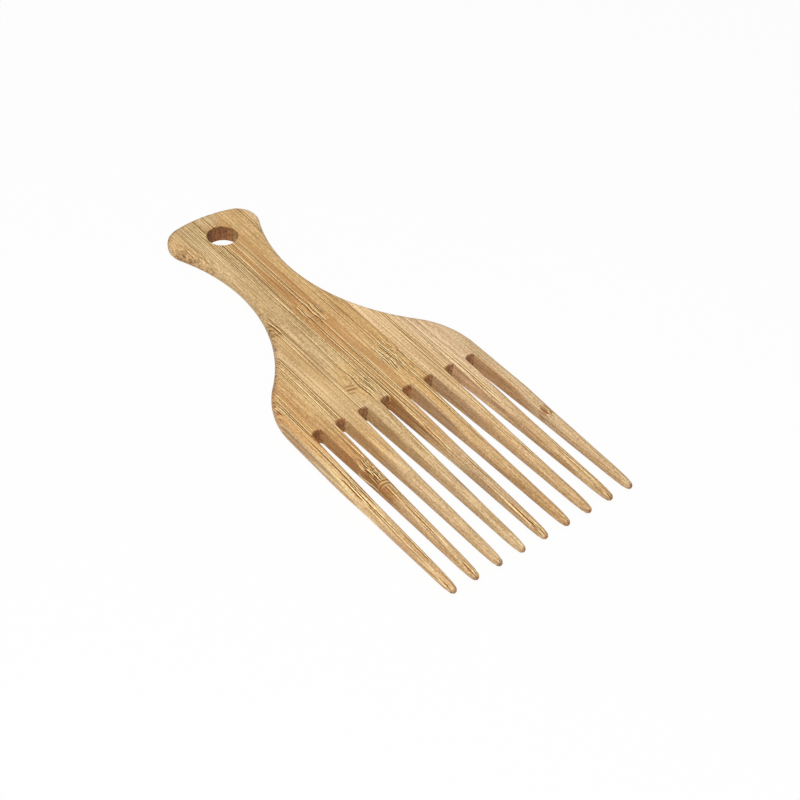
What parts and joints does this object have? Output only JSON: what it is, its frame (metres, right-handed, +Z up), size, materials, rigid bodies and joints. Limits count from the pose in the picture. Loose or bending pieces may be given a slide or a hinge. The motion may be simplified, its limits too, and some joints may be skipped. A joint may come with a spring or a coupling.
{
  "type": "afro pick",
  "caption": "Flat afro pick of edge-glued bamboo strips: a broad blade of long, round-tipped tines, a waisted handle and a flared butt with a round hang hole.",
  "frame": {"origin": "on the resting face, under the middle of the pick's length and width", "axes": "+X across the tines, +Y from the tips to the butt of the handle, +Z up from the resting face"},
  "size_m": [0.0718, 0.1794, 0.006],
  "materials": {
    "pale_bamboo": "sanded, light oil",
    "golden_bamboo": "sanded, light oil",
    "caramel_bamboo": "sanded, light oil"
  },
  "bodies": {
    "root": {"left_edge_strip": "golden_bamboo", "left_shoulder_strip": "pale_bamboo", "left_blade_strip": "golden_bamboo", "left_handle_strip": "pale_bamboo", "centre_strip": "caramel_bamboo", "right_handle_strip": "golden_bamboo", "right_blade_strip": "caramel_bamboo", "right_shoulder_strip": "golden_bamboo", "right_edge_strip": "caramel_bamboo", "left_butt_ear": "golden_bamboo", "centre_butt_block": "caramel_bamboo", "right_butt_ear": "caramel_bamboo"}
  },
  "joints": []
}
